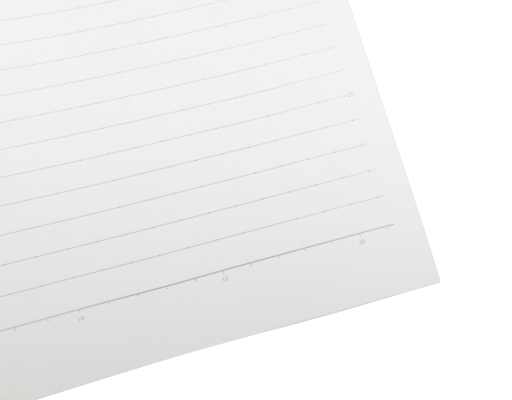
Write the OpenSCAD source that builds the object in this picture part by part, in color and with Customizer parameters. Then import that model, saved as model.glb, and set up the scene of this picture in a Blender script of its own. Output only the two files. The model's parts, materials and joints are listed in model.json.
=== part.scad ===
// A thin ruled notebook lying open at its first page.
// The sheets lie to the right of the spine on the back cover, and the front cover is turned
// over to the left. The origin is at table height, under the fold, midway along the spine.
// +X runs to the fore-edge, +Y to the head of the page, and +Z up from the table.

/* [Sheets] */
// Width of a sheet, from spine to fore-edge
page_w = 179; // [150:1:220]
// Height of a sheet, from foot to head
page_h = 252; // [180:1:320]
// Number of sheets
sheets = 30; // [20:1:60]
// Thickness of one sheet
sheet_t = 0.09; // [0.07:0.005:0.12]
// Radius that handling has given the corners at the fore-edge
corner_r = 0.8; // [0.3:0.1:6]

/* [Lie of the sheets] */
// Distance from the spine to the low line, where the sheets lie close together
low_x = 106; // [85:1:130]
// Height of the swell between the spine and the low line
swell_h = 2.75; // [1:0.05:4]
// Height by which the fore-edge curls up
curl_h = 2.6; // [0.5:0.05:4]
// How late the curl sets in, as the power of its curve
curl_power = 1.8; // [1.4:0.1:2.4]

/* [Binding] */
// Thickness of the cover card
cover_t = 0.3; // [0.2:0.05:0.5]
// Thickness of the spine tape
tape_t = 0.2; // [0.1:0.05:0.3]
// Width of the tape on each cover
flap_w = 12; // [8:0.5:20]
// Thickness of the glue along the spine edge of the sheets
glue_t = 0.3; // [0.2:0.05:0.8]
// Distance over which a cover settles past the edge of the tape
step_run = 1.5; // [1:0.1:3]
// Distance over which the open front cover comes down to the table
fall_run = 24; // [18:1:40]

/* [Clearances] */
// Room at each fold of the tape
fold_gap = 0.3; // [0.2:0.05:0.5]
// Room between the sheets and the back cover
lay_gap = 0.05; // [0.03:0.01:0.1]
// Room between the closed front cover and the highest sheet
closed_gap = 0.3; // [0.2:0.05:0.6]

/* [Ruling] */
// Spacing of the ruled lines
line_pitch = 7; // [5:0.5:10]
// Height of the last row, above the foot rule
last_row = 7.5; // [6:0.5:10]
// Margin below the foot rule
foot_margin = 16.7; // [12:0.1:30]
// Least margin above the head rule
head_margin = 24; // [15:0.5:40]
// Spacing of the marks along the foot rule
mark_pitch = 7; // [5:0.5:10]
// Margin from the last mark to the fore-edge
fore_margin = 9.1; // [6:0.1:20]
// Least margin from the spine to the first mark
spine_margin = 22; // [15:0.5:40]
// Length of the lines past the first and last marks
overrun = 2; // [0.5:0.1:4]
// Width of a ruled line
line_w = 0.2; // [0.1:0.05:0.4]
// Width of the head and foot rules
rule_w = 0.35; // [0.25:0.05:0.8]
// Length of the ticks under the foot rule
tick_l = 0.6; // [0.4:0.1:2]
// Width of the ticks
tick_w = 0.2; // [0.15:0.05:0.5]
// Height by which the printing stands on the paper
ink_t = 0.05; // [0.03:0.01:0.08]

/* [Hidden] */

// Colours as the photo shows the page, and plain ones for what it does not show
paper_colour = [0.93, 0.93, 0.92];
ink_colour = [0.72, 0.74, 0.73];
rule_colour = [0.55, 0.58, 0.56];
cover_colour = [0.62, 0.68, 0.72];
tape_colour = [0.20, 0.22, 0.25];
glue_colour = [0.90, 0.88, 0.80];

// Straight facets that make up each bent section
facets = 24;
// Facets of the short slopes of a cover
slope_facets = 8;
// Circles of the rounded corners
round_fn = 32;

block_t = sheets * sheet_t;
spine_x = tape_t + glue_t;
fore_x = spine_x + page_w;
block_z = tape_t + cover_t + lay_gap;
block_top = block_z + block_t;
relief_max = max(swell_h, curl_h);
crest_z = cover_t + lay_gap + block_t + relief_max;

// Fold lines of the two covers, at x = 0
front_fold_z = max(block_top + fold_gap / 2, (crest_z + closed_gap + cover_t) / 2);
back_fold_z = tape_t + cover_t + lay_gap / 2;
// Height of the outer face of the open front cover's tape where it leaves the fold
fall_h = 2 * front_fold_z - block_top - closed_gap - cover_t - tape_t;

// Where a cover lies flat again past the edge of the tape
settled_x = flap_w + step_run;

mark_last_x = fore_x - fore_margin;
mark_spaces = floor((page_w - fore_margin - spine_margin) / mark_pitch);
line_x0 = mark_x(0) - overrun;
line_x1 = mark_last_x + overrun;
foot_rule_y = -page_h / 2 + foot_margin;
first_line_y = foot_rule_y + last_row;
line_rows = floor((page_h - foot_margin - last_row - head_margin) / line_pitch);
head_rule_y = first_line_y + line_rows * line_pitch;

// Height of the step that the edge of a tape flap makes, at a distance from the spine
function tape_step(x) = tape_t * (1 - min(1, max(0, (x - flap_w) / step_run)));

// Height of the lie of the sheets over a flat stack, at a distance from the spine edge
function relief(x) = x < low_x
    ? swell_h * pow(sin(180 * x / low_x), 2)
    : curl_h * pow((x - low_x) / (page_w - low_x), curl_power);

// Height of the top sheet
function page_z(x) = cover_t + lay_gap + block_t + tape_step(x) + relief(x - spine_x);

// Height of the open front cover's lowest face, at a distance from the fold
function fall_z(x) = x < fall_run ? fall_h * (1 + cos(180 * x / fall_run)) / 2 : 0;

// The lines where the facets of the top sheet meet, and the height between them
page_facets = [for (i = [0 : facets]) let (x = spine_x + page_w * i / facets) [x, page_z(x)]];
function on_page(x) = lookup(x, page_facets);

// The place across the page of each mark of the foot rule
function mark_x(i) = mark_last_x - (mark_spaces - i) * mark_pitch;

// The places from the fold along a cover where its facets meet
cover_stations = concat(
    [for (i = [0 : slope_facets]) spine_x + (flap_w - spine_x) * i / slope_facets],
    [for (i = [0 : slope_facets]) settled_x + (fall_run - settled_x) * i / slope_facets],
    [fore_x]
);

// A section in X and Z made into a solid from y0 to y1
module along_spine(points, y0, y1) {
    translate([0, y1, 0])
        rotate([90, 0, 0])
            linear_extrude(y1 - y0)
                polygon(points);
}

// A sheet of even thickness over a lower face, from foot to head
module layer(lower_face, thickness) {
    last = len(lower_face) - 1;
    upper_face = [for (i = [last : -1 : 0]) lower_face[i] + [0, thickness]];
    along_spine(concat(lower_face, upper_face), -page_h / 2, page_h / 2);
}

// The outline of a sheet or cover seen from above, with its two corners rounded
module trimmed_outline() {
    translate([0, -page_h / 2])
        square([fore_x - corner_r, page_h]);
    translate([0, -page_h / 2 + corner_r])
        square([fore_x, page_h - 2 * corner_r]);
    for (side = [-1, 1])
        translate([fore_x - corner_r, side * (page_h / 2 - corner_r)])
            circle(corner_r, $fn = round_fn);
}

// What lies inside the trimmed outline
module trimmed() {
    intersection() {
        children();
        linear_extrude(2 * crest_z)
            trimmed_outline();
    }
}

// The stack of sheets, bound as one, with the top ones bent up on both sides of the low line
module page_block() {
    under = [
        [fore_x, cover_t + lay_gap],
        [settled_x, cover_t + lay_gap],
        [flap_w, block_z],
        [spine_x, block_z]
    ];
    color(paper_colour)
        trimmed()
            along_spine(concat(page_facets, under), -page_h / 2, page_h / 2);
}

// The glue that holds the sheets together at the spine
module binding_glue() {
    color(glue_colour)
        translate([tape_t, -page_h / 2, block_z])
            cube([glue_t, page_h, block_t]);
}

// The front cover, turned over, coming down from the fold to the table
module front_cover() {
    color(cover_colour)
        mirror([1, 0, 0])
            trimmed()
                layer([for (x = cover_stations) [x, fall_z(x) + tape_step(x)]], cover_t);
}

// The back cover, flat on the table under the sheets
module back_cover() {
    color(cover_colour)
        trimmed()
            layer([for (x = [spine_x, flap_w, settled_x, fore_x]) [x, tape_step(x)]], cover_t);
}

// The part of the tape on the spine edge, between the two folds
module spine_tape() {
    low_z = back_fold_z + lay_gap / 2;
    color(tape_colour)
        translate([0, -page_h / 2, low_z])
            cube([tape_t, page_h, front_fold_z - fold_gap - low_z]);
}

// The part of the tape on the outside of the front cover
module front_tape_flap() {
    places = [fold_gap, for (x = cover_stations) if (x <= flap_w) x];
    color(tape_colour)
        mirror([1, 0, 0])
            layer([for (x = places) [x, fall_z(x)]], tape_t);
}

// The part of the tape on the outside of the back cover
module back_tape_flap() {
    color(tape_colour)
        translate([fold_gap, -page_h / 2, 0])
            cube([flap_w - fold_gap, page_h, tape_t]);
}

// A strip of printing on the top sheet, from x0 to x1, centred on y
module print_strip(x0, x1, y, width) {
    places = [x0, for (p = page_facets) if (p[0] > x0 && p[0] < x1) p[0], x1];
    last = len(places) - 1;
    lower = [for (x = places) [x, on_page(x)]];
    upper = [for (i = [last : -1 : 0]) lower[i] + [0, ink_t]];
    along_spine(concat(lower, upper), y - width / 2, y + width / 2);
}

// The thin lines that rule the page
module ruled_lines() {
    color(ink_colour)
        for (row = [0 : line_rows - 1])
            print_strip(line_x0, line_x1, first_line_y + row * line_pitch, line_w);
}

// The thicker rule above the first row
module head_rule() {
    color(rule_colour)
        print_strip(line_x0, line_x1, head_rule_y, rule_w);
}

// The thicker rule below the last row, with a tick under every second mark and every fifth
module foot_rule() {
    tick_y = foot_rule_y - (rule_w + tick_l) / 2;
    color(rule_colour) {
        print_strip(line_x0, line_x1, foot_rule_y, rule_w);
        for (i = [0 : mark_spaces])
            if (i % 2 == 0 || i % 5 == 0)
                print_strip(mark_x(i) - tick_w / 2, mark_x(i) + tick_w / 2, tick_y, tick_l);
    }
}

page_block();
binding_glue();
front_cover();
back_cover();
spine_tape();
front_tape_flap();
back_tape_flap();
ruled_lines();
head_rule();
foot_rule();
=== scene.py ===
"""Looks of a thin ruled notebook, lying open at its first page.

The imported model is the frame. Each piece here stands for one or more of its nodes, or lies on one,
and takes its place from the nodes' boxes. All lengths are in metres.
"""

import json
import math
import random

import bpy
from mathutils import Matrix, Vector, noise


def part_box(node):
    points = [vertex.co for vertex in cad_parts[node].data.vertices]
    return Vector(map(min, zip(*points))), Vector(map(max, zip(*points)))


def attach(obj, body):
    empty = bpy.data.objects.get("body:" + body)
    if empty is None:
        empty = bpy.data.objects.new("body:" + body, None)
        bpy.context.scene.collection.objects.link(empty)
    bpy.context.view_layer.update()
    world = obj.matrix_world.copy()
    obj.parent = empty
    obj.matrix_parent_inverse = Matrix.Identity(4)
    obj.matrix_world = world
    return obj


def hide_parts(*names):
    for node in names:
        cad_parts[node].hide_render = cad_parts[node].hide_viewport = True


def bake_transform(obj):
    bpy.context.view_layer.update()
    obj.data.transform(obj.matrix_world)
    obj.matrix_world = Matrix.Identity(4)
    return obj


MM = 0.001

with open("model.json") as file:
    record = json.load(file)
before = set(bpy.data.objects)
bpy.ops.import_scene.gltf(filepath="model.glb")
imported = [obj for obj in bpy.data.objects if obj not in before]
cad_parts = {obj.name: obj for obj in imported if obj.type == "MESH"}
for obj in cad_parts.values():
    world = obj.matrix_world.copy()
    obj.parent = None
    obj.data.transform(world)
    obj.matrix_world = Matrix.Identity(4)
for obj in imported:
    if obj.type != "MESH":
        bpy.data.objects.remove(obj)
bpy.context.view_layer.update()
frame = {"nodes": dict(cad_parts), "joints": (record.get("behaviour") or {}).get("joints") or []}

# Sizes that the frame gives

block_low, block_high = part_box("page_block")
glue_low, glue_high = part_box("binding_glue")
back_flap_low, back_flap_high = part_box("back_tape_flap")
_, back_cover_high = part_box("back_cover")
lines_low, lines_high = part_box("ruled_lines")
head_rule_low, head_rule_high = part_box("head_rule")
_, foot_rule_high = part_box("foot_rule")
FOLD_Z = {joint["child"]: joint["pos_m"][2] for joint in frame["joints"]}

SPINE_X = block_low.x
FORE_X = block_high.x
HALF_H = block_high.y
TAPE_T = back_flap_high.z
FLAP_W = back_flap_high.x
FOLD_GAP = back_flap_low.x
COVER_T = back_cover_high.z - TAPE_T
STACK_Z = block_low.z
STACK_T = glue_high.z - glue_low.z
PAGE_W = FORE_X - SPINE_X
RULE_W = head_rule_high.y - head_rule_low.y
LINE_X0 = lines_low.x
LINE_X1 = lines_high.x
FOOT_RULE_Y = foot_rule_high.y - RULE_W / 2
HEAD_RULE_Y = head_rule_high.y - RULE_W / 2

# Sizes that are the notebook's own, as in its construction

SHEETS = 30
LOW_X = 106 * MM
SWELL_H = 2.75 * MM
CURL_H = 2.6 * MM
CURL_POWER = 1.8
CORNER_R = 0.8 * MM
STEP_RUN = 1.5 * MM
FALL_RUN = 24 * MM
CLOSED_GAP = 0.3 * MM
LINE_W = 0.2 * MM
LINE_PITCH = 7 * MM
MARK_PITCH = 7 * MM
OVERRUN = 2 * MM

SHEET_PITCH = STACK_T / SHEETS
FALL_H = 2 * FOLD_Z["front_cover"] - glue_high.z - CLOSED_GAP - COVER_T - TAPE_T
FIRST_LINE_Y = lines_low.y + LINE_W / 2
LINE_ROWS = round((lines_high.y - lines_low.y) / LINE_PITCH) + 1
MARK_X0 = LINE_X0 + OVERRUN
MARKS = round((LINE_X1 - OVERRUN - MARK_X0) / MARK_PITCH) + 1


# The lie of the sheets and covers


def smooth_step(share):
    """0 below 0, 1 above 1, and a smooth rise between."""
    share = min(1.0, max(0.0, share))
    return share * share * (3 - 2 * share)


def tape_step(x):
    """Height of the step that the edge of a tape flap makes, at a distance from the fold."""
    return TAPE_T * (1 - smooth_step((x - FLAP_W) / STEP_RUN))


def fall_z(x):
    """Height of the open front cover's lowest face, at a distance from the fold."""
    return FALL_H * (1 + math.cos(math.pi * min(1.0, x / FALL_RUN))) / 2


def relief(x):
    """Height by which the top sheet rises over a flat stack."""
    from_spine = x - SPINE_X
    if from_spine < LOW_X:
        return SWELL_H * math.sin(math.pi * from_spine / LOW_X) ** 2
    return CURL_H * ((from_spine - LOW_X) / (PAGE_W - LOW_X)) ** CURL_POWER


def half_height(x):
    """Half the height of a sheet or cover at x, less where its corner is rounded."""
    into_corner = x - (FORE_X - CORNER_R)
    if into_corner <= 0:
        return HALF_H
    return HALF_H - CORNER_R + math.sqrt(max(0.0, CORNER_R**2 - into_corner**2))


# The knife has bowed the foot edge inwards: its middle, its reach across and its depth
BOW_X = 117 * MM
BOW_REACH = 15 * MM
BOW_DEPTH = 0.18 * MM


def edge_y(x, share):
    """A place along a sheet's height, from share -1 at its foot edge to 1 at its head."""
    bow = BOW_DEPTH * math.exp(-(((x - BOW_X) / BOW_REACH) ** 2))
    return share * (half_height(x) - (bow if share < 0 else 0.0))


# Sheets take up the bend by degrees, from flat at the bottom to the full relief at the top
BEND_POWER = 1.15
# Cut edges are pressed down a little by the trimming knife
ROLL_W = 0.45 * MM
ROLL_D = 0.07 * MM
# Slow waves that a sheet of paper has: their height, how close they are and which pattern of them
WAVE_H = 0.10 * MM
WAVE_PER_M = 22
WAVE_PATTERN = 3.7
# Number of sheets, from the top one down, that share in the waves
LOOSE_SHEETS = 4
# Distance from the spine over which the binding holds the waves down
BOUND_W = 20 * MM
# The stack's fore-edge slants, because the sheets on top turn on a wider bend
SLANT = 0.25 * MM
# Places where handling has lifted or dropped the sheets: the middle, the reach across and along,
# and the height at the top sheet
COCKLES = [
    ((152 * MM, -HALF_H), (16 * MM, 14 * MM), 0.62 * MM),
    ((FORE_X, -97 * MM), (18 * MM, 12 * MM), 0.17 * MM),
    ((FORE_X, -HALF_H), (18 * MM, 9 * MM), -0.40 * MM),
]


def cockle(x, y):
    """Height that the cockled places add to the top sheet."""
    height = 0.0
    for (mid_x, mid_y), (across, along), lift in COCKLES:
        height += lift * math.exp(-(((x - mid_x) / across) ** 2) - ((y - mid_y) / along) ** 2)
    return height


def looseness(level):
    """Share of the top sheet's waves that a sheet takes up."""
    return smooth_step(1 - (1 - level) * (SHEETS - 1) / LOOSE_SHEETS)


def sheet_z(x, y, level):
    """Height of the underside of a sheet, level 0 at the bottom of the stack and 1 at the top."""
    lie = STACK_Z + tape_step(x) + level * (SHEETS - 1) * SHEET_PITCH + relief(x) * level**BEND_POWER
    loose = looseness(level)
    if loose == 0:
        return lie
    edge = min(HALF_H - abs(y), FORE_X - x)
    roll = ROLL_D * max(0.0, 1 - edge / ROLL_W) ** 2
    wave = WAVE_H * noise.noise(Vector((x * WAVE_PER_M, y * WAVE_PER_M, WAVE_PATTERN)))
    free = smooth_step((x - SPINE_X) / BOUND_W)
    return lie + (wave * free + cockle(x, y) - roll) * loose


# Share of the spacing of the sheets that is paper. The rest is air
PAPER_SHARE = 0.94
PAPER_T = SHEET_PITCH * PAPER_SHARE


def page_z(x, y):
    """Height of the top face of the top sheet."""
    return sheet_z(x, y, 1.0) + PAPER_T


# Meshes


def slab(xs, ys_at, lower, upper):
    """A closed slab over a grid of xs by the ys at each x, between two faces given as heights."""
    grid = [(x, y) for x in xs for y in ys_at(x)]
    ny = len(grid) // len(xs)
    nx = len(xs)
    verts = [(x, y, lower(x, y)) for x, y in grid] + [(x, y, upper(x, y)) for x, y in grid]
    top = nx * ny

    def at(i, j):
        return i * ny + j

    faces = []
    for i in range(nx - 1):
        for j in range(ny - 1):
            ring = (at(i, j), at(i + 1, j), at(i + 1, j + 1), at(i, j + 1))
            faces.append(tuple(reversed(ring)))
            faces.append(tuple(k + top for k in ring))
    rim = [at(i, 0) for i in range(nx - 1)]
    rim += [at(nx - 1, j) for j in range(ny - 1)]
    rim += [at(i, ny - 1) for i in range(nx - 1, 0, -1)]
    rim += [at(0, j) for j in range(ny - 1, 0, -1)]
    for k, a in enumerate(rim):
        b = rim[(k + 1) % len(rim)]
        faces.append((a, b, b + top, a + top))
    return verts, faces


# Places where the sheet's give has drawn the printing aside: the middle, the reach across and
# along, and the shift
STRETCHES = [
    ((88 * MM, -108 * MM), (13 * MM, 14 * MM), (0.42 * MM, 0.0)),
    ((115 * MM, -109 * MM), (13 * MM, 9 * MM), (0.0, -0.17 * MM)),
    ((146 * MM, -69 * MM), (12 * MM, 14 * MM), (0.0, -0.17 * MM)),
    ((104 * MM, -57 * MM), (14 * MM, 14 * MM), (0.0, 0.16 * MM)),
]


def laid(verts):
    """Points of the printing, with their heights over the paper, laid on the top sheet."""
    placed = []
    for x, y, lift in verts:
        dx, dy = 0.0, 0.0
        for (mid_x, mid_y), (across, along), (shift_x, shift_y) in STRETCHES:
            share = math.exp(-(((x - mid_x) / across) ** 2) - ((y - mid_y) / along) ** 2)
            dx += shift_x * share
            dy += shift_y * share
        placed.append((x + dx, y + dy, page_z(x + dx, y + dy) + lift))
    return placed


def prism(outline, lift, thickness):
    """A flat closed shape printed on the top sheet, lift above it."""
    count = len(outline)
    verts = [(x, y, lift) for x, y in outline] + [(x, y, lift + thickness) for x, y in outline]
    faces = [tuple(reversed(range(count))), tuple(range(count, 2 * count))]
    faces += [(i, (i + 1) % count, (i + 1) % count + count, i + count) for i in range(count)]
    return laid(verts), faces


# Angle between faces above which their edge is sharp
SHARP_DEG = 30


def make_piece(name, parts, materials):
    """One mesh object from a list of (vertices, faces), smooth but for its sharp edges."""
    verts, faces = [], []
    for part_verts, part_faces in parts:
        start = len(verts)
        verts.extend(part_verts)
        faces.extend(tuple(k + start for k in face) for face in part_faces)
    mesh = bpy.data.meshes.new(name)
    mesh.from_pydata(verts, [], faces)
    mesh.validate()
    mesh.polygons.foreach_set("use_smooth", [True] * len(mesh.polygons))
    mesh.set_sharp_from_angle(angle=math.radians(SHARP_DEG))
    for material in materials:
        mesh.materials.append(material)
    obj = bpy.data.objects.new(name, mesh)
    bpy.context.scene.collection.objects.link(obj)
    return obj


def spaced(start, end, step):
    """Even places from start to end, about a step apart."""
    count = max(1, math.ceil((end - start) / step - 1e-6))
    return [start + (end - start) * i / count for i in range(count + 1)]


# Materials


class Nodes:
    """A material's node tree, with short calls to add and join nodes."""

    def __init__(self, name):
        self.material = bpy.data.materials.new(name)
        self.material.use_nodes = True
        self.tree = self.material.node_tree
        self.shader = self.tree.nodes["Principled BSDF"]
        self.place = self.add("ShaderNodeTexCoord").outputs["Object"]

    def add(self, kind, **values):
        """A new node with its settings."""
        node = self.tree.nodes.new(kind)
        for key, value in values.items():
            setattr(node, key, value)
        return node

    def join(self, source, target):
        """Link an output to an input."""
        self.tree.links.new(source, target)

    def noise(self, per_m, detail=3.0, roughness=0.55, stretch=None):
        """Noise with so many grains to a metre, drawn out along the axes if stretch is given."""
        node = self.add("ShaderNodeTexNoise")
        node.inputs["Scale"].default_value = per_m
        node.inputs["Detail"].default_value = detail
        node.inputs["Roughness"].default_value = roughness
        if stretch:
            mapping = self.add("ShaderNodeMapping")
            mapping.inputs["Scale"].default_value = stretch
            self.join(self.place, mapping.inputs["Vector"])
            self.join(mapping.outputs["Vector"], node.inputs["Vector"])
        else:
            self.join(self.place, node.inputs["Vector"])
        return node.outputs["Fac"]

    def ramp(self, value, stops):
        """Colours at the places named, and blends between them."""
        node = self.add("ShaderNodeValToRGB")
        ends = node.color_ramp.elements
        ends[0].position, ends[0].color = stops[0][0], (*stops[0][1], 1)
        ends[1].position, ends[1].color = stops[-1][0], (*stops[-1][1], 1)
        for place, tone in stops[1:-1]:
            ends.new(place).color = (*tone, 1)
        self.join(value, node.inputs["Fac"])
        return node.outputs["Color"]

    def split(self, *axes):
        """The object's own coordinates along the axes named."""
        node = self.add("ShaderNodeSeparateXYZ")
        self.join(self.place, node.inputs[0])
        return [node.outputs[axis] for axis in axes]

    def span(self, value, low, high, start, end):
        """A smooth change from start to end as a value goes from low to high."""
        node = self.add("ShaderNodeMapRange", interpolation_type="SMOOTHSTEP")
        for key, number in zip(("From Min", "From Max", "To Min", "To Max"), (low, high, start, end)):
            node.inputs[key].default_value = number
        self.join(value, node.inputs["Value"])
        return node.outputs["Result"]

    def maths(self, operation, a, b=None):
        """A sum of one or two values, each a number or an output."""
        node = self.add("ShaderNodeMath", operation=operation)
        for socket, value in zip(node.inputs, (a, b)):
            if value is None:
                continue
            if isinstance(value, (int, float)):
                socket.default_value = value
            else:
                self.join(value, socket)
        return node.outputs[0]

    def mix(self, blend, share, a, b):
        """Two colours mixed, with each value a number, a colour or an output."""
        node = self.add("ShaderNodeMix", data_type="RGBA", blend_type=blend)
        sockets = {s.identifier: s for s in node.inputs}
        for key, value in (("Factor_Float", share), ("A_Color", a), ("B_Color", b)):
            if isinstance(value, (int, float)):
                sockets[key].default_value = value
            elif isinstance(value, tuple):
                sockets[key].default_value = (*value, 1)
            else:
                self.join(value, sockets[key])
        return next(s for s in node.outputs if s.identifier == "Result_Color")

    def bump(self, height, strength, distance):
        """Fine relief on the surface."""
        node = self.add("ShaderNodeBump")
        node.inputs["Strength"].default_value = strength
        node.inputs["Distance"].default_value = distance
        self.join(height, node.inputs["Height"])
        self.join(node.outputs["Normal"], self.shader.inputs["Normal"])

    def finish(self, tone, roughness, specular):
        """The material, with its colour joined and its gloss set."""
        self.join(tone, self.shader.inputs["Base Color"])
        self.shader.inputs["Roughness"].default_value = roughness
        self.shader.inputs["Specular IOR Level"].default_value = specular
        return self.material


def linear(grey):
    """A screen level from 0 to 255 as linear light."""
    share = grey / 255
    return share / 12.92 if share <= 0.04045 else ((share + 0.055) / 1.055) ** 2.4


def colour(red, green, blue):
    """A colour given in screen levels."""
    return (linear(red), linear(green), linear(blue))


def scaled(base, share):
    """A colour made lighter or darker."""
    return tuple(channel * share for channel in base)


PAPER = colour(241, 241, 241.5)
# Painted shade along a sheet's cut edges, where the edge of the stack lies in shade: its width and
# depth at the foot and head, and at the fore-edge.
# The first is deepest where the foot is lifted and shadows the sheets under it, and changes over two
# short runs
END_SHADE_W = 0.45 * MM
END_SHADE = 0.05
END_SHADE_RUNS = (((133 * MM, 141 * MM), 0.20), ((163 * MM, 171 * MM), -0.15))
FORE_SHADE_W = 0.9 * MM
FORE_SHADE = 0.04


def paper_material():
    """Uncoated writing paper: faint clouds and fibres, a tint by sheet, and painted shade along its
    cut edges.
    """
    n = Nodes("paper")
    x, y = n.split("X", "Y")
    from_end = n.maths("SUBTRACT", HALF_H, n.maths("ABSOLUTE", y))
    from_fore = n.maths("SUBTRACT", FORE_X, x)
    depth = END_SHADE
    for (start, end), change in END_SHADE_RUNS:
        depth = n.maths("ADD", n.span(x, start, end, 0, change), depth)
    end_shade = n.maths("MULTIPLY", n.span(from_end, 0, END_SHADE_W, 1, 0), depth)
    fore_shade = n.span(from_fore, 0, FORE_SHADE_W, FORE_SHADE, 0)
    # The paper's tone times this share is the painted shade along the cut edges
    cut = n.maths("SUBTRACT", n.maths("SUBTRACT", 1, end_shade), fore_shade)
    clouds = n.ramp(n.noise(160, detail=2), [(0.3, scaled(PAPER, 0.995)), (0.7, scaled(PAPER, 1.004))])
    fibres = n.ramp(
        n.noise(2600, detail=4, roughness=0.7),
        [(0.35, (0.98,) * 3), (0.65, (1.0,) * 3)],
    )
    tone = n.mix("MULTIPLY", 1.0, clouds, fibres)
    island = n.add("ShaderNodeNewGeometry").outputs["Random Per Island"]
    by_sheet = n.ramp(island, [(0.0, (0.97, 0.97, 0.965)), (1.0, (1.0,) * 3)])
    tone = n.mix("MULTIPLY", 1.0, n.mix("MULTIPLY", 1.0, tone, by_sheet), cut)
    n.bump(n.noise(3500, detail=5, roughness=0.7), strength=0.12, distance=0.04 * MM)
    return n.finish(tone, roughness=0.88, specular=0.2)


# The ink is full at the foot of the page, midway across, and paler up the page and to both sides.
# Paler up the page is painted highlight, for the head of the page lies in the brighter light
FADE_UP = (FIRST_LINE_Y, FIRST_LINE_Y + 56 * MM)
FADE_OUT = (135 * MM, 172 * MM)
FADE_IN = (112 * MM, 80 * MM)


def ink_material(name, full, highlight_paling_up, paling_out, paling_in):
    """Printed ink, broken up a little by the paper's tooth, with the shares by which it pales each
    way; its paling up the page is painted highlight.
    """
    n = Nodes(name)
    x, y = n.split("X", "Y")
    # left is the ink's strength: less up the page as painted highlight, and less towards both sides
    left = n.span(y, *FADE_UP, 1, 1 - highlight_paling_up)
    left = n.maths("MULTIPLY", left, n.span(x, *FADE_OUT, 1, 1 - paling_out))
    left = n.maths("MULTIPLY", left, n.span(x, *FADE_IN, 1, 1 - paling_in))
    tone = n.mix("MIX", left, PAPER, full)
    tooth = n.ramp(n.noise(4200, detail=3, roughness=0.7), [(0.35, (0.96,) * 3), (0.75, (1.0,) * 3)])
    return n.finish(n.mix("MULTIPLY", 1.0, tone, tooth), roughness=0.8, specular=0.2)


# Spacing of the threads in the binding tape
THREAD = 0.5 * MM
TAPE = colour(62, 68, 76)
COVER_OUTSIDE = colour(163, 176, 186)
COVER_INSIDE = colour(233, 231, 226)


def card_material(name, base, fleck, fleck_share):
    """Smooth cover card with fine fibres in it."""
    n = Nodes(name)
    clouds = n.ramp(n.noise(70, detail=3), [(0.3, scaled(base, 0.985)), (0.7, scaled(base, 1.01))])
    fibres = n.noise(900, detail=6, roughness=0.75, stretch=(1.0, 0.35, 1.0))
    flecks = n.ramp(fibres, [(0.30, (fleck_share,) * 3), (0.42, (0.0,) * 3)])
    tone = n.mix("MIX", flecks, clouds, fleck)
    n.bump(fibres, strength=0.15, distance=0.05 * MM)
    return n.finish(tone, roughness=0.62, specular=0.35)


def tape_material():
    """Fine cloth-grained binding tape, with painted shade in the low parts of its weave and painted
    light on the high.
    """
    n = Nodes("tape_cloth")
    x, y, z = n.split("X", "Y", "Z")
    turn = 2 * math.pi / THREAD
    warp = n.maths("SINE", n.maths("MULTIPLY", y, turn))
    weft = n.maths("SINE", n.maths("MULTIPLY", n.maths("ADD", x, z), turn))
    weave = n.maths("MULTIPLY", warp, weft)
    uneven = n.maths("MULTIPLY", n.noise(500, detail=4), 0.6)
    height = n.maths("ADD", n.maths("MULTIPLY", weave, 0.5), uneven)
    # The tone follows the weave's relief: painted shade where it is low and painted light where it is
    # high
    tone = n.ramp(height, [(0.0, scaled(TAPE, 0.75)), (0.45, TAPE), (0.8, scaled(TAPE, 1.5))])
    n.bump(height, strength=0.5, distance=0.06 * MM)
    return n.finish(tone, roughness=0.7, specular=0.35)


def glue_material():
    """Dried glue, slightly clouded."""
    n = Nodes("dried_glue")
    tone = n.ramp(n.noise(900, detail=3), [(0.3, colour(214, 210, 196)), (0.7, colour(232, 229, 218))])
    n.bump(n.noise(1500), strength=0.2, distance=0.05 * MM)
    return n.finish(tone, roughness=0.45, specular=0.4)


paper = paper_material()
line_ink = ink_material(
    "line_ink", colour(199, 198, 198), highlight_paling_up=0.43, paling_out=0.42, paling_in=0.12
)
dot_ink = ink_material(
    "dot_ink", colour(183, 183, 184), highlight_paling_up=0.40, paling_out=0.10, paling_in=0.25
)
rule_ink = ink_material(
    "rule_ink", colour(190, 189, 190), highlight_paling_up=0.30, paling_out=0.26, paling_in=0.38
)
number_ink = ink_material(
    "number_ink", colour(185, 185, 185), highlight_paling_up=0.5, paling_out=0.05, paling_in=0.20
)
faint_ink = ink_material(
    "faint_ink", colour(238, 238, 238), highlight_paling_up=0.6, paling_out=0.0, paling_in=0.0
)
card_outside = card_material(
    "card_outside", COVER_OUTSIDE, scaled(COVER_OUTSIDE, 0.8), fleck_share=0.25
)
card_inside = card_material(
    "card_inside", COVER_INSIDE, scaled(COVER_INSIDE, 0.86), fleck_share=0.3
)
tape_cloth = tape_material()
glue = glue_material()


# The sheets

# Spacing of the points across a sheet, and the rows of them along it: fine where it waves
SHEET_STEP = 2 * MM
SHEET_ROWS = 60
FLAT_STEP = 6 * MM
FLAT_ROWS = 2
# Points along a rounded corner
CORNER_POINTS = 6
# Rows of points over a rolled cut edge, as shares of its width
ROLL_SHARES = (0, 0.25, 0.55, 1)
# Most that a sheet under the top one falls short of it at the fore-edge, and the seed of its draws
JOG = 0.12 * MM
JOG_SEED = 7


def round_xs(start, end):
    """Places from start to end, closer together towards the end, where corners are rounded."""
    shares = [math.sin(math.pi / 2 * i / CORNER_POINTS) for i in range(1, CORNER_POINTS + 1)]
    return [start + (end - start) * share for share in shares]


def sheet_xs(level, step):
    """Places across a sheet where its mesh has points, closer at the corners and the cut edge."""
    reach = FORE_X - SLANT * (1 - level) ** 2
    edge = reach - max(CORNER_R, ROLL_W)
    return spaced(SPINE_X, edge, step) + round_xs(edge, reach)


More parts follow.
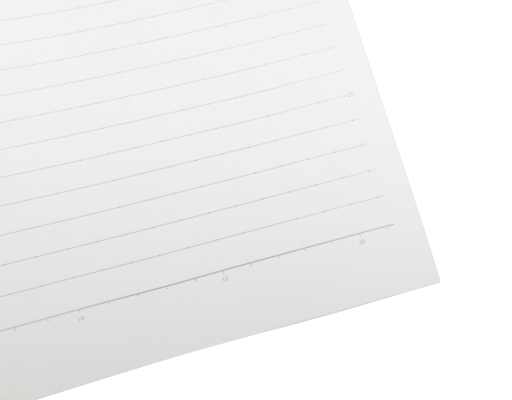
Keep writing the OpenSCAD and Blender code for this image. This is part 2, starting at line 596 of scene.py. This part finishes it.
def sheet_ys(rows):
    """A function that gives the places along the sheet's height, closer at its cut edges."""
    inner = HALF_H - max(CORNER_R, ROLL_W)
    edge = [ROLL_W * share for share in ROLL_SHARES]
    shares = [-(HALF_H - e) / HALF_H for e in edge]
    shares += [-inner / HALF_H * (1 - 2 * i / rows) for i in range(rows + 1)]
    shares += [(HALF_H - e) / HALF_H for e in reversed(edge)]

    def at(x):
        return [edge_y(min(x, FORE_X), share) for share in shares]

    return at


def make_sheet(level, step, rows, jog):
    """One sheet, jogged a little out of line with the rest."""
    xs = sheet_xs(level, step)
    ys = sheet_ys(rows)
    verts, faces = slab(
        xs,
        ys,
        lambda x, y: sheet_z(x, y, level),
        lambda x, y: sheet_z(x, y, level) + PAPER_T,
    )
    verts = [(x + jog * (x - SPINE_X) / PAGE_W, y, z) for x, y, z in verts]
    return verts, faces


def make_sheets():
    """The bound stack, sheet by sheet, with the printed sheet on top."""
    rng = random.Random(JOG_SEED)
    lower = []
    for i in range(SHEETS - 1):
        level = i / (SHEETS - 1)
        grid = (SHEET_STEP, SHEET_ROWS) if looseness(level) else (FLAT_STEP, FLAT_ROWS)
        lower.append(make_sheet(level, *grid, jog=-rng.uniform(0, JOG)))
    stack = make_piece("lower_sheets", lower, [paper])
    printed = make_sheet(1.0, SHEET_STEP, SHEET_ROWS, jog=0)
    top = make_piece("top_sheet", [printed], [paper])
    for piece in (stack, top):
        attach(piece, "sheets")
    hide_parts("page_block")


# Printing on the top sheet

# How far the ink is sunk into the paper, how far it stands over it, and how much further its dots do
INK_SINK = 0.004 * MM
INK_T = 0.014 * MM
DOT_LIFT = 0.004 * MM
# The faint line lies under the ruling
FAINT_LIFT = 0.011 * MM
DOT_SIDES = 12
DOT_R = 0.19 * MM
# The dot that ends a numbered line, and the dots under the foot rule
END_DOT_R = 0.2 * MM
SCALE_DOT_R = 0.17 * MM
# Every second and every fifth mark under the foot rule is a tick, and every fifth has a number
TICKED = 2
NUMBERED = 5


def print_strip(x0, x1, y, width):
    """A line of ink along the page, bent with the sheet."""
    xs = [x for x in sheet_xs(1.0, SHEET_STEP) if x0 < x < x1]
    verts, faces = slab(
        [x0, *xs, x1],
        lambda x: (y - width / 2, y + width / 2),
        lambda x, y: -INK_SINK,
        lambda x, y: INK_T,
    )
    return laid(verts), faces


def print_dot(x, y, radius, lift=0.0):
    """A round dot of ink."""
    turn = [2 * math.pi * i / DOT_SIDES for i in range(DOT_SIDES)]
    outline = [(x + radius * math.cos(a), y + radius * math.sin(a)) for a in turn]
    return prism(outline, lift - INK_SINK, INK_SINK + INK_T)


def mark_x(i):
    """Place across the page of a mark of the foot rule, counted from 0 beside the spine."""
    return MARK_X0 + i * MARK_PITCH


def row_y(row):
    """Place of a ruled line, counted from 1 at the head."""
    return FIRST_LINE_Y + LINE_PITCH * (LINE_ROWS - row)


def is_numbered(row):
    """Every fifth line has its number at its end."""
    return row % NUMBERED == 0


def make_lines():
    """The ruled lines, with a dot at every mark. A numbered line ends at its last dot."""
    strips, dots = [], []
    for row in range(1, LINE_ROWS + 1):
        end = mark_x(MARKS - 1) if is_numbered(row) else LINE_X1
        strips.append(print_strip(LINE_X0, end, row_y(row), LINE_W))
        for i in range(MARKS):
            ends_line = is_numbered(row) and i == MARKS - 1
            radius = END_DOT_R if ends_line else DOT_R
            dots.append(print_dot(mark_x(i), row_y(row), radius, DOT_LIFT))
    lines = make_piece("line_print", strips, [line_ink])
    dots = make_piece("dot_print", dots, [dot_ink])
    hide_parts("ruled_lines")
    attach(lines, "sheets")
    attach(dots, "sheets")


TICK_L = 0.6 * MM
TICK_W = 0.22 * MM
# From the middle of the foot rule down to the middle of the dots under it
SCALE_DOT_DROP = 0.55 * MM


def make_rules():
    """The thick rules over the first row and under the last, with the marks of the foot rule."""
    head = make_piece(
        "head_rule_print",
        [print_strip(LINE_X0, LINE_X1, HEAD_RULE_Y, RULE_W)],
        [rule_ink],
    )
    parts = [print_strip(LINE_X0, LINE_X1, FOOT_RULE_Y, RULE_W)]
    under = FOOT_RULE_Y - RULE_W / 2
    for i in range(MARKS):
        if i % TICKED == 0 or i % NUMBERED == 0:
            x = mark_x(i)
            outline = [
                (x - TICK_W / 2, under - TICK_L),
                (x + TICK_W / 2, under - TICK_L),
                (x + TICK_W / 2, under),
                (x - TICK_W / 2, under),
            ]
            parts.append(prism(outline, -INK_SINK, INK_SINK + INK_T))
        else:
            parts.append(print_dot(mark_x(i), FOOT_RULE_Y - SCALE_DOT_DROP, SCALE_DOT_R))
    foot = make_piece("foot_rule_print", parts, [rule_ink])
    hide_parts("head_rule")
    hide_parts("foot_rule")
    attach(head, "sheets")
    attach(foot, "sheets")


# A faint upright line beside the dots of one mark, as if rubbed out: its mark, how far it is to
# the left of it, its ends as rows of ruling, and its width
FAINT_MARK = 18
FAINT_ASIDE = 0.27 * MM
FAINT_ROWS = (24.6, 30.0)
FAINT_W = 0.45 * MM


def make_faint_line():
    """The faint line, as a strip of its own."""
    x = mark_x(FAINT_MARK) - FAINT_ASIDE
    low, high = (row_y(row) for row in reversed(FAINT_ROWS))
    verts, faces = slab(
        [x - FAINT_W / 2, x + FAINT_W / 2],
        lambda x: spaced(low, high, SHEET_STEP),
        lambda x, y: -INK_SINK,
        lambda x, y: FAINT_LIFT,
    )
    line = make_piece("faint_line", [(laid(verts), faces)], [faint_ink])
    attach(line, "sheets")


NUMBER_H = 1.08 * MM
# Size of the built-in font over the height of its figures
FONT_SHARE = 1.38
# From the middle of the foot rule down to the foot of its numbers
NUMBER_DROP = 2.68 * MM
# From the last dot of a numbered line to the middle of its number
NUMBER_GAP = 1.4 * MM
# Segments that make up each curve of a figure
FIGURE_STEPS = 3


def number_mesh(text, x, y):
    """A plain number laid on the page, centred at x with its foot at y."""
    curve = bpy.data.curves.new("number", "FONT")
    curve.body = text
    curve.align_x = "CENTER"
    curve.size = NUMBER_H * FONT_SHARE
    curve.resolution_u = FIGURE_STEPS
    holder = bpy.data.objects.new("number", curve)
    bpy.context.scene.collection.objects.link(holder)
    bpy.context.view_layer.update()
    flat = holder.to_mesh()
    verts = [(v.co.x + x, v.co.y + y, INK_T) for v in flat.vertices]
    faces = [tuple(p.vertices) for p in flat.polygons]
    holder.to_mesh_clear()
    bpy.data.objects.remove(holder)
    return laid(verts), faces


def make_numbers():
    """The scale's plain numbers: every fifth mark under the foot rule, every fifth line at its end."""
    parts = []
    for i in range(NUMBERED, MARKS, NUMBERED):
        parts.append(number_mesh(str(i), mark_x(i), FOOT_RULE_Y - NUMBER_DROP))
    for row in range(1, LINE_ROWS + 1):
        if is_numbered(row):
            x = mark_x(MARKS - 1) + NUMBER_GAP
            parts.append(number_mesh(str(row), x, row_y(row) - NUMBER_H / 2))
    numbers = make_piece("scale_numbers", parts, [number_ink])
    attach(numbers, "sheets")


# The covers

# Spacing of the points across a cover: on the tape, where it settles past it and where it falls
ON_TAPE_STEP = 0.8 * MM
SETTLE_STEP = STEP_RUN / 6
FALL_STEP = 1 * MM
# Rows of points along a cover
COVER_ROWS = 4
# A face whose normal is lower than this is on the outside of a cover
OUTSIDE_NORMAL = -0.5


def cover_xs():
    """Places across a cover where its mesh has points."""
    settled = FLAP_W + STEP_RUN
    fallen = FALL_RUN + FALL_STEP
    xs = spaced(SPINE_X, FLAP_W, ON_TAPE_STEP)
    xs += spaced(FLAP_W, settled, SETTLE_STEP)[1:]
    xs += spaced(settled, fallen, FALL_STEP)[1:]
    xs += spaced(fallen, FORE_X - CORNER_R, FLAT_STEP)[1:]
    xs += round_xs(FORE_X - CORNER_R, FORE_X)
    return xs


def make_cover(name, lower, side, body):
    """A cover card over a lower face, with side 1 to the right of the fold or -1 to the left."""
    verts, faces = slab(
        cover_xs(),
        sheet_ys(COVER_ROWS),
        lambda x, y: lower(x),
        lambda x, y: lower(x) + COVER_T,
    )
    verts = [(x * side, y, z) for x, y, z in verts]
    if side < 0:
        faces = [tuple(reversed(face)) for face in faces]
    piece = make_piece(name, [(verts, faces)], [card_outside, card_inside])
    for polygon in piece.data.polygons:
        polygon.material_index = 0 if polygon.normal.z < OUTSIDE_NORMAL else 1
    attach(piece, body)
    return piece


def make_covers():
    """The front cover, turned over to the left, and the back cover under the sheets."""
    front = make_cover("front_card", lambda x: fall_z(x) + tape_step(x), -1, "front_cover")
    back = make_cover("back_card", tape_step, 1, "back_cover")
    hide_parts("front_cover")
    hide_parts("back_cover")


# The spine tape, as two halves that meet halfway up the spine, each bending over one fold

# Radius of the bend at the front cover's fold, and the facets of each bend
TAPE_BEND = 0.12 * MM
BEND_FACETS = 5
# Spacing of the points up the spine, across a cover and along the spine
UP_STEP = 0.3 * MM
FLAP_STEP = 0.8 * MM
ALONG_STEP = 12 * MM


def strip_along(path):
    """A strip of tape of even thickness along a path of (x, z) on its outer face, foot to head."""
    inner = []
    for i, (x, z) in enumerate(path):
        before = path[max(0, i - 1)]
        after = path[min(len(path) - 1, i + 1)]
        dx, dz = after[0] - before[0], after[1] - before[1]
        length = math.hypot(dx, dz)
        inner.append((x + dz / length * TAPE_T, z - dx / length * TAPE_T))
    ys = spaced(-HALF_H, HALF_H, ALONG_STEP)
    count, rows = len(path), len(ys)
    verts = [(x, y, z) for x, z in path for y in ys] + [(x, y, z) for x, z in inner for y in ys]
    top = count * rows
    faces = []
    for i in range(count - 1):
        for j in range(rows - 1):
            a, b = i * rows + j, (i + 1) * rows + j
            faces.append((a, b, b + 1, a + 1))
            faces.append((a + top, a + 1 + top, b + 1 + top, b + top))
        for j in (0, rows - 1):
            a, b = i * rows + j, (i + 1) * rows + j
            faces.append((a, a + top, b + top, b) if j == 0 else (a, b, b + top, a + top))
    for i in (0, count - 1):
        for j in range(rows - 1):
            a = i * rows + j
            ring = (a, a + 1, a + 1 + top, a + top)
            faces.append(ring if i == 0 else tuple(reversed(ring)))
    return verts, faces


def make_tape():
    """Both halves of the tape, each blended from the spine to its cover."""
    middle = (glue_low.z + glue_high.z) / 2
    front_end = fall_z(FOLD_GAP)
    bend = TAPE_BEND
    turn = [math.pi / 2 * i / BEND_FACETS for i in range(1, BEND_FACETS + 1)]
    front_path = [(0.0, z) for z in spaced(middle, front_end - bend, UP_STEP)]
    front_path += [(-bend * (1 - math.cos(a)), front_end - bend * (1 - math.sin(a))) for a in turn]
    front_path += [(-x, fall_z(x)) for x in spaced(FOLD_GAP, FLAP_W, FLAP_STEP)]
    front = make_piece("tape_front", [strip_along(front_path)], [tape_cloth])
    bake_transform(front)
    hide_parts("spine_tape", "front_tape_flap")
    back_path = [(x, 0.0) for x in reversed(spaced(FOLD_GAP, FLAP_W, FLAP_STEP))]
    back_path += [(FOLD_GAP * (1 - math.sin(a)), FOLD_GAP * (1 - math.cos(a))) for a in turn]
    back_path += [(0.0, z) for z in spaced(FOLD_GAP, middle, UP_STEP)[1:]]
    back = make_piece("tape_back", [strip_along(back_path)], [tape_cloth])
    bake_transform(back)
    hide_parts("back_tape_flap")


def dress_glue():
    """The glue keeps its solid, with a material of its own."""
    materials = frame["nodes"]["binding_glue"].data.materials
    materials.clear()
    materials.append(glue)


# Camera, lamps and floor

# Where the camera stands, and its turn in degrees
CAMERA_PLACE = Vector((133.83, -104.81, 83.53)) * MM
CAMERA_TURN = (8.263, -2.854, -14.851)
# Width of its sensor in millimetres, and its frame and focal length in the photograph's pixels
SENSOR_W = 36.0
FRAME_W = 512
FOCAL_PX = 320
CLIP_START = 5 * MM


def make_camera():
    """The camera, close over the page, as the photograph's was."""
    data = bpy.data.cameras.new("photo_camera")
    data.sensor_width = SENSOR_W
    data.lens = FOCAL_PX / FRAME_W * SENSOR_W
    data.clip_start = CLIP_START
    camera = bpy.data.objects.new("photo_camera", data)
    camera.location = CAMERA_PLACE
    camera.rotation_euler = [math.radians(a) for a in CAMERA_TURN]
    bpy.context.scene.collection.objects.link(camera)
    bpy.context.scene.camera = camera


# The head of the page is in full light and its foot in the soft edge of it, as in the photograph.
# The lamp's half angle is in radians
KEY_PLACE = (0.70, -0.18, 0.70)
KEY_AIM = (0.455, 0.557, 0)
KEY_HALF_ANGLE = 0.857
KEY_BLEND = 0.3
KEY_RADIUS = 0.04
KEY_POWER = 17.9
# A second lamp keeps the open cover as light as the page
SIDE_PLACE = (-0.25, -0.05, 0.50)
SIDE_AIM = (-0.12, -0.05, 0)
SIDE_SIZE = 0.2
SIDE_POWER = 1.03
# The lamps are a little bluer than the fill, so that the shade at the foot is a little warmer
LAMP_TINT = (1.0, 1.0, 1.06)
FILL_TINT = (1.0, 1.0, 0.91)
FILL = 0.442


def add_lamp(name, data, place, aim, power):
    """Put a lamp in its place, turned to what it lights, and hidden from the camera itself."""
    data.energy = power
    data.color = LAMP_TINT
    lamp = bpy.data.objects.new(name, data)
    lamp.location = place
    lamp.rotation_euler = (Vector(aim) - Vector(place)).to_track_quat("-Z", "Y").to_euler()
    lamp.visible_camera = False
    bpy.context.scene.collection.objects.link(lamp)


def make_key():
    """A spot whose soft edge falls across the page."""
    data = bpy.data.lights.new("key", "SPOT")
    data.spot_size = 2 * KEY_HALF_ANGLE
    data.spot_blend = KEY_BLEND
    data.shadow_soft_size = KEY_RADIUS
    add_lamp("key", data, KEY_PLACE, KEY_AIM, KEY_POWER)


def make_side():
    """A soft panel over the open cover."""
    data = bpy.data.lights.new("side", "AREA")
    data.shape = "SQUARE"
    data.size = SIDE_SIZE
    add_lamp("side", data, SIDE_PLACE, SIDE_AIM, SIDE_POWER)


def seen_share(tree):
    """1 for rays that show the background, directly or in a gloss, and 0 for rays that light."""
    path = tree.nodes.new("ShaderNodeLightPath")
    total = path.outputs["Is Camera Ray"]
    for other in ("Is Glossy Ray", "Is Transmission Ray"):
        either = tree.nodes.new("ShaderNodeMath")
        either.operation = "MAXIMUM"
        tree.links.new(total, either.inputs[0])
        tree.links.new(path.outputs[other], either.inputs[1])
        total = either.outputs[0]
    return total


def make_world():
    """Even light from all round, and white where the background shows."""
    world = bpy.data.worlds.new("studio")
    world.use_nodes = True
    bpy.context.scene.world = world
    tree = world.node_tree
    output = tree.nodes["World Output"]
    light = tree.nodes["Background"]
    light.inputs["Color"].default_value = (*FILL_TINT, 1)
    light.inputs["Strength"].default_value = FILL
    white = tree.nodes.new("ShaderNodeBackground")
    white.inputs["Color"].default_value = (1, 1, 1, 1)
    white.inputs["Strength"].default_value = 1.0
    mix = tree.nodes.new("ShaderNodeMixShader")
    tree.links.new(seen_share(tree), mix.inputs["Fac"])
    tree.links.new(light.outputs[0], mix.inputs[1])
    tree.links.new(white.outputs[0], mix.inputs[2])
    tree.links.new(mix.outputs[0], output.inputs["Surface"])


# Half the width of the floor, and how far it lies under the notebook
FLOOR_HALF = 3.0
FLOOR_DROP = 0.05 * MM
# The floor's grey where it throws light on the notebook, and the glow and grey that the camera sees,
# of which the grey keeps the notebook's shadow
FLOOR_GREY = 0.80
FLOOR_GLOW = 0.90
FLOOR_SHADE = 0.30


def make_floor():
    """A white floor that keeps a soft shadow where the camera sees it."""
    mesh = bpy.data.meshes.new("floor")
    h = FLOOR_HALF
    mesh.from_pydata([(-h, -h, 0), (h, -h, 0), (h, h, 0), (-h, h, 0)], [], [(0, 1, 2, 3)])
    floor = bpy.data.objects.new("floor", mesh)
    floor.location.z = -FLOOR_DROP
    bpy.context.scene.collection.objects.link(floor)
    material = bpy.data.materials.new("white_floor")
    material.use_nodes = True
    tree = material.node_tree
    tree.nodes.remove(tree.nodes["Principled BSDF"])
    lit = tree.nodes.new("ShaderNodeBsdfDiffuse")
    lit.inputs["Color"].default_value = (FLOOR_GREY,) * 3 + (1,)
    shade = tree.nodes.new("ShaderNodeBsdfDiffuse")
    shade.inputs["Color"].default_value = (FLOOR_SHADE,) * 3 + (1,)
    glow = tree.nodes.new("ShaderNodeEmission")
    glow.inputs["Strength"].default_value = FLOOR_GLOW
    both = tree.nodes.new("ShaderNodeAddShader")
    mix = tree.nodes.new("ShaderNodeMixShader")
    tree.links.new(shade.outputs[0], both.inputs[0])
    tree.links.new(glow.outputs[0], both.inputs[1])
    tree.links.new(seen_share(tree), mix.inputs["Fac"])
    tree.links.new(lit.outputs[0], mix.inputs[1])
    tree.links.new(both.outputs[0], mix.inputs[2])
    tree.links.new(mix.outputs[0], tree.nodes["Material Output"].inputs["Surface"])
    mesh.materials.append(material)


make_camera()
make_sheets()
make_lines()
make_rules()
make_faint_line()
make_numbers()
make_covers()
make_tape()
dress_glue()

make_key()
make_side()
make_world()
make_floor()
bpy.context.scene.view_settings.view_transform = "Standard"
